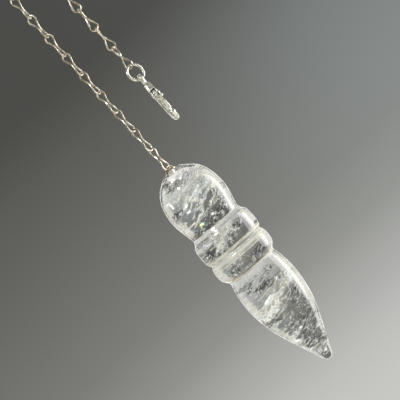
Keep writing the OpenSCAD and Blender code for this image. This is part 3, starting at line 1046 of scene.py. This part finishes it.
housing = [(y * half_hook, z * CLASP_LENGTH) for y, z in HOUSING]
slot_share = (slot_top - housing[0][1]) / (housing[6][1] - housing[0][1])
front_at_slot = housing[0][0] + slot_share * (housing[6][0] - housing[0][0])
core = housing[:5] + [(slot_back, housing[4][1]), (slot_back, slot_top), (front_at_slot, slot_top)]
cheek_back = slot_back + PART_OVERLAP
cheek = [(front_at_slot, slot_top), (cheek_back, slot_top), (cheek_back, housing[4][1]), *housing[5:]]

tail = bmesh.new()
tail_start = Matrix.Translation((0, 0, (TAIL_DIAMETER - TAIL_WIRE) / 2))
bmesh.ops.create_circle(
    tail, segments=TAIL_SIDES, radius=TAIL_WIRE / 2,
    matrix=tail_start @ Matrix.Rotation(math.pi / 2, 4, "X"),
)
spin_across(tail, tail.verts[:] + tail.edges[:], (0, 0, 0), TAIL_STEPS)
bm = bmesh.new()
join_rounded(bm, tail, 0)

hook_end = math.radians(360 + ARM_LEAN)
bend = [math.radians(a) for a in range(HOOK_TIP_AT, 371, BEND_STEP)] + [hook_end]
bar = [on_hook(a) for a in bend]
bar.append(bar[-1] + FIXED_ARM_SHARE * CLASP_LENGTH * Vector((0, -math.sin(hook_end), math.cos(hook_end))))
hook = wire_mesh(bar, HOOK_WIRE / 2, 5, closed=False)
bm.from_mesh(hook)
bpy.data.meshes.remove(hook)
bmesh.ops.create_uvsphere(
    bm, u_segments=24, v_segments=16, radius=BALL_DIAMETER / 2, matrix=Matrix.Translation(hook_tip)
)

add_slab(bm, core, -HOUSING_WIDTH / 2, HOUSING_WIDTH / 2, 0.16)
for side in (-1, 1):
    inner, outer = sorted((side * slot_half, side * HOUSING_WIDTH / 2))
    add_slab(bm, cheek, inner, outer, 0.08)
    inner, outer = sorted((side * slot_half, side * CHEEK_WIDTH / 2))
    add_pin(bm, pivot_at, CHEEK_DIAMETER / 2, inner, outer, 0.1)
    inner, outer = sorted((side * slot_half, side * RIVET_WIDTH / 2))
    add_pin(bm, pivot_at, RIVET_DIAMETER / 2, inner, outer, 0.2)
add_pin(bm, pivot_at, PIN_DIAMETER / 2, -slot_half, slot_half, 0)
shell = piece_from(bm, "clasp_shell", clasp_place, "chain", [clasp_metal], ["clasp_body"])
print("clasp faces", len(shell.data.polygons))

# %% [markdown]
# ## The clasp's lever
#
# The lever is a bored hub on the rivet, a neck, an arm that closes against the hook's ball, and
# a tab for the thumb. The hub and neck are narrow enough for the slot, and the arm and tab are
# wider, since they stay outside it.

# %% Build the clasp's lever
ARM = [(-0.78, 0), (-0.90, 0.45), (-0.83, 1), (-0.60, 1), (-0.62, 0.45), (-0.40, 0)]
FOOT = [(-0.49, 0.14), (-0.79, 0.14)]
IN_HUB = 0.8
arm_start = pivot_at.z - CHEEK_DIAMETER / 2 - 2 * LEVER_GAP
arm_end = hook_tip.z + BALL_DIAMETER / 2 + 3 * LEVER_GAP


def along_arm(shares):
    """Outline points from their shares of the hook's half width and of the arm's length."""
    return [(y * half_hook, arm_start + z * (arm_end - arm_start)) for y, z in shares]


arm = along_arm(ARM)
tab_in = pivot_at.y - CHEEK_DIAMETER / 2 - LEVER_GAP
tab_out = tab_in - TAB_LENGTH
tab_top = pivot_at.z - TAB_SHARE * CHEEK_DIAMETER
tab_end = tab_top - TAB_HEIGHT
hub_centre = Vector((pivot_at.y, pivot_at.z))
tab_root = Vector((tab_in - PART_OVERLAP, tab_top))
in_hub = [
    hub_centre + IN_HUB * hub_radius * (corner - hub_centre).normalized()
    for corner in (tab_root, Vector(arm[5]))
]
neck = [tab_root, *in_hub, arm[5], *along_arm(FOOT), arm[0], (tab_in - PART_OVERLAP, tab_end)]
tab = [(tab_out, tab_end), (tab_in, tab_end), (tab_in, tab_top), (tab_out, tab_top)]
bm = bmesh.new()
add_washer(bm, pivot_at, PIN_DIAMETER / 2 + LEVER_GAP, hub_radius, -HUB_WIDTH / 2, HUB_WIDTH / 2, 0.14)
add_slab(bm, neck, -HUB_WIDTH / 2, HUB_WIDTH / 2, 0.1)
add_slab(bm, arm, -ARM_WIDTH / 2, ARM_WIDTH / 2, 0.18)
add_slab(bm, tab, -TAB_WIDTH / 2, TAB_WIDTH / 2, 0.22)
thumb = piece_from(bm, "thumb_lever", clasp_place, "lever", [clasp_metal], ["clasp_lever"])
print("lever faces", len(thumb.data.polygons))

# %% [markdown]
# ## The eye and the jump ring
#
# The packed model already has these two round, so they only take a finish.

# %% Finish the eye and the jump ring
for node, finish in (("eye_pin", eye_metal), ("jump_ring", clasp_metal)):
    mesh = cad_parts[node].data
    mesh.materials.clear()
    mesh.materials.append(finish.material)
    mesh.shade_smooth()
    print(node, "faces", len(mesh.polygons))

# %% [markdown]
# ## The stage
#
# The floor is a wide dish whose rim rises into a wall, so no edge shows behind the stone. It is
# an outline spun round, like the stone itself.

# %% Spin the dish
FLOOR_Z = -0.36
DISH_RADIUS = 0.72
COVE = 0.2
WALL_TOP = 0.5
COVE_STEP = 6
DISH_STEPS = 96
dish = [Vector((0, FLOOR_Z))]
for a in (math.radians(d) for d in range(0, 91, COVE_STEP)):
    dish.append(Vector((DISH_RADIUS - COVE + COVE * math.sin(a), FLOOR_Z + COVE - COVE * math.cos(a))))
dish.append(Vector((DISH_RADIUS, WALL_TOP)))
mesh = bpy.data.meshes.new("studio_floor")
bm = spun(dish, DISH_STEPS)
bm.to_mesh(mesh)
bm.free()
mesh.shade_smooth()
floor = bpy.data.objects.new("studio_floor", mesh)
studio.objects.link(floor)
print("dish points", len(dish))

# %% [markdown]
# ## The paper's tones
#
# The sheet glows by itself, pale below and dark grey above, as a graded studio sheet does. A
# cool glow lies at the right and a shade at the left. The polished pieces also mirror what the
# camera doesn't see: cream flanks, a pale wall in front and a painted pool of warm light under the stone.

# %% Grade the paper
GRADE = [
    (0.0, colour(0.54, 0.543, 0.52)), (0.067, colour(0.385, 0.388, 0.37)),
    (0.167, colour(0.247, 0.25, 0.232)), (0.308, colour(0.165, 0.167, 0.152)),
    (0.474, colour(0.125, 0.127, 0.113)), (0.642, colour(0.090, 0.091, 0.080)),
    (0.795, colour(0.063, 0.064, 0.055)), (0.915, colour(0.030, 0.031, 0.026)),
]
COOL_GLOW, LEFT_SHADE = colour(0.56, 0.66, 0.71), colour(0.05, 0.05, 0.046)
CREAM_FLANK, DIM_FLANK = colour(0.80, 0.78, 0.7), colour(0.58, 0.57, 0.51)
FRONT_WALL, PAINTED_LIGHT_POOL = colour(0.60, 0.59, 0.55), colour(0.95, 0.92, 0.84)
sheet = Finish("graded_paper", Base_Color=colour(0.05, 0.05, 0.05), Roughness=0.9, Emission_Strength=1.0)
sheet_place = sheet.node("ShaderNodeTexCoord", {}, out=3)
across, away, height = (sheet.node("ShaderNodeSeparateXYZ", {}, sheet_place, out=i) for i in range(3))
shade = sheet.node("ShaderNodeValToRGB", {"stops": GRADE}, height.step(FLOOR_Z, 0.16))
glow_height = height.step(-0.26, -0.1, 0.4, 1.0) * height.step(-0.06, 0.08, 1.0, 0.15)
behind = away.step(0.02, 0.2)
near_axis = (across * across + away * away).step(0.04, 0.2, 1.0, 0.0)
OVERLAYS = [
    (across.step(-0.05, 0.28, 0.0, 0.17) * glow_height, COOL_GLOW),
    (across.step(-0.3, -0.06, 0.14, 0.0), LEFT_SHADE),
    (behind * across.step(-0.49, -0.39, 1.0, 0.0), CREAM_FLANK),
    (behind * across.step(0.39, 0.49, 0.0, 1.0), DIM_FLANK),
    (away.step(-0.62, -0.42, 1.0, 0.0), FRONT_WALL),
    # A painted pool of warm light on the floor under the stone.
    (near_axis * height.step(FLOOR_Z, FLOOR_Z + 0.06, 1.0, 0.0), PAINTED_LIGHT_POOL),
]
for mask, tone in OVERLAYS:
    shade = sheet.blend(mask, shade, tone)
sheet.vary("Emission Color", shade)
floor.data.materials.append(sheet.material)
print("tones over the grade", len(OVERLAYS))

# %% [markdown]
# ## Light
#
# One tall soft box stands at the right, a little behind the stone: it draws the long bright
# bar down the polished side and lights the clouds inside. Its twin lights only what mirrors
# it. Two narrow strips behind the stone edge it on both sides, a small lamp high at the left
# front gives the sparkle on the dome, and the sky fills the rest.

# %% Lamps and sky
STONE_MIDDLE = Vector((-0.005, 0, -0.127))
WHITE = (1, 1, 1)
# Name, azimuth (0 is the viewer, 90 the right), elevation, distance, size, power, tint, shape.
LAMPS = [
    ("side_box", 97, -4, 0.42, 0.32, 0.40, 1.25, (0.95, 0.96, 1.0), "ELLIPSE"),
    ("side_box_sheen", 97, -4, 0.42, 0.32, 0.40, 2.0, (0.93, 0.95, 1.0), "ELLIPSE"),
    ("left_edge_strip", -160, 5, 0.45, 0.10, 0.5, 0.22, WHITE, "RECTANGLE"),
    ("right_edge_strip", 160, 5, 0.45, 0.10, 0.5, 0.22, WHITE, "RECTANGLE"),
    ("dome_lamp", -25, 50, 0.5, 0.11, 0.08, 0.9, WHITE, "ELLIPSE"),
]

for name, azimuth, elevation, distance, width, height, power, tint, shape in LAMPS:
    a, e = math.radians(azimuth), math.radians(elevation)
    out = Vector((math.sin(a) * math.cos(e), -math.cos(a) * math.cos(e), math.sin(e)))
    lamp = bpy.data.lights.new(name, "AREA")
    lamp.shape = shape
    lamp.size, lamp.size_y = width, height
    lamp.energy = power
    lamp.color = tint
    holder = bpy.data.objects.new(name, lamp)
    holder.rotation_mode = "QUATERNION"
    holder.location = STONE_MIDDLE + out * distance
    holder.rotation_quaternion = out.to_track_quat("Z", "Y")
    holder.visible_camera = False
    holder.visible_transmission = False
    holder.visible_diffuse = name != "side_box_sheen"
    studio.objects.link(holder)

world = bpy.data.worlds.new("soft_sky")
bpy.context.scene.world = world
world.use_nodes = True
sky = world.node_tree.nodes["Background"]
sky.inputs[0].default_value = colour(0.75, 0.77, 0.8)
sky.inputs[1].default_value = 0.5
print("lamps", len(LAMPS))

# %% [markdown]
# ## The camera
#
# The picture was turned after it was taken: down, where the stone hangs, points to the lower
# right. So the camera looks level and rolls, and the strands cross the frame on a slant.

# %% Set the camera
HANG_ANGLE = math.radians(47.5)
LENS = 85
FRAME_WIDTH = 0.0868
VIEW_CENTRE = Vector((-3.94, 0, -109.15)) * MM
camera_data = bpy.data.cameras.new("camera")
camera_data.lens = LENS
camera_data.clip_start, camera_data.clip_end = 0.01, 10
camera = bpy.data.objects.new("camera", camera_data)
studio.objects.link(camera)
right = Vector((math.sin(HANG_ANGLE), 0, -math.cos(HANG_ANGLE)))
up = Vector((math.cos(HANG_ANGLE), 0, math.sin(HANG_ANGLE)))
look_back = right.cross(up)
distance = LENS / camera_data.sensor_width * FRAME_WIDTH
camera.rotation_mode = "QUATERNION"
camera.rotation_quaternion = Matrix((right, up, look_back)).transposed().to_quaternion()
camera.location = VIEW_CENTRE + look_back * distance
bpy.context.scene.camera = camera
bpy.context.scene.view_settings.view_transform = "Standard"
print("camera stands off, mm", round(distance / MM, 1))

# %% [markdown]
